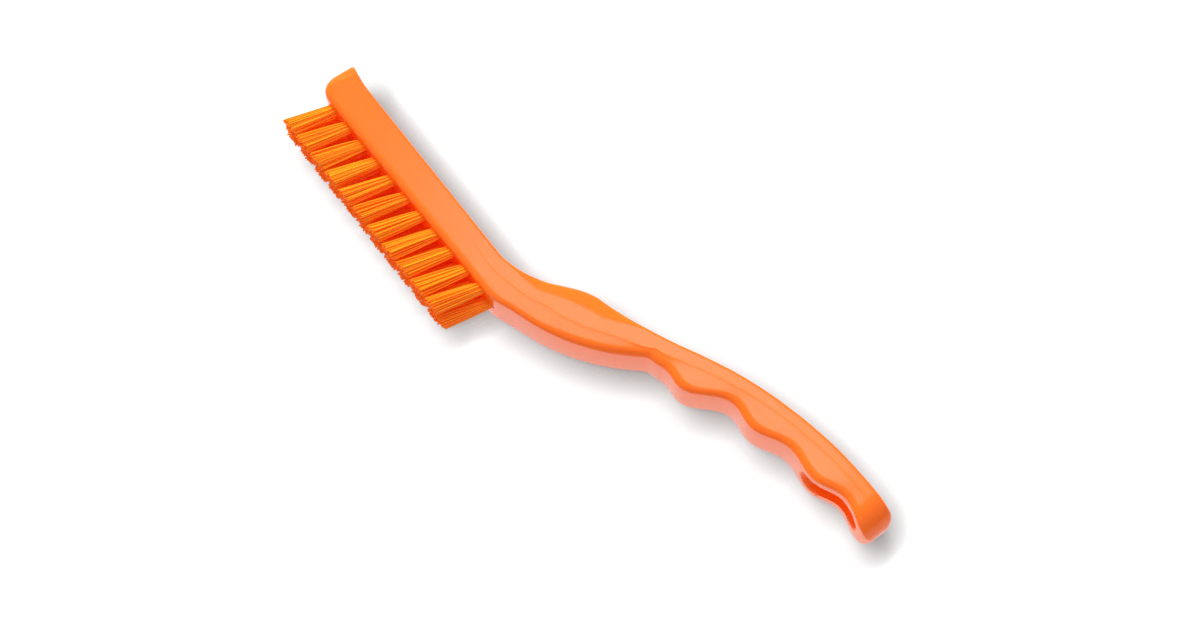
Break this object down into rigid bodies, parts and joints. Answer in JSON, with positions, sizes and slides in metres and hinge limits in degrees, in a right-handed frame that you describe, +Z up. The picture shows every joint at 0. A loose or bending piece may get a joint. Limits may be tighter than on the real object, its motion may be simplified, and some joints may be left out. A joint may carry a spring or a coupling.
{
  "type": "grout brush",
  "caption": "Narrow scrubbing brush with a low bristle head, an upswept grip with a thumb rest and finger grooves, and a hanging slot.",
  "frame": {"origin": "centre of the bounding box in plan, on the surface that the brush lies on", "axes": "+X from the front of the head to the hanging end, +Y from the bristles to the back of the brush, +Z up across the brush's width; the brush lies on its right side as in the picture"},
  "size_m": [0.23, 0.0746, 0.0235],
  "materials": {
    "handle": "smooth injection-moulded polypropylene, soft gloss",
    "bristles": "stiff extruded filament, cut ends",
    "wire": "flat drawn anchor wire"
  },
  "bodies": {
    "root": {"handle": "handle", "anchor_wires": "wire", "tuft_left_01": "bristles", "tuft_left_02": "bristles", "tuft_left_03": "bristles", "tuft_left_04": "bristles", "tuft_left_05": "bristles", "tuft_left_06": "bristles", "tuft_left_07": "bristles", "tuft_left_08": "bristles", "tuft_left_09": "bristles", "tuft_left_10": "bristles", "tuft_left_11": "bristles", "tuft_middle_01": "bristles", "tuft_middle_02": "bristles", "tuft_middle_03": "bristles", "tuft_middle_04": "bristles", "tuft_middle_05": "bristles", "tuft_middle_06": "bristles", "tuft_middle_07": "bristles", "tuft_middle_08": "bristles", "tuft_middle_09": "bristles", "tuft_middle_10": "bristles", "tuft_middle_11": "bristles", "tuft_middle_12": "bristles", "tuft_right_01": "bristles", "tuft_right_02": "bristles", "tuft_right_03": "bristles", "tuft_right_04": "bristles", "tuft_right_05": "bristles", "tuft_right_06": "bristles", "tuft_right_07": "bristles", "tuft_right_08": "bristles", "tuft_right_09": "bristles", "tuft_right_10": "bristles", "tuft_right_11": "bristles"}
  },
  "joints": []
}
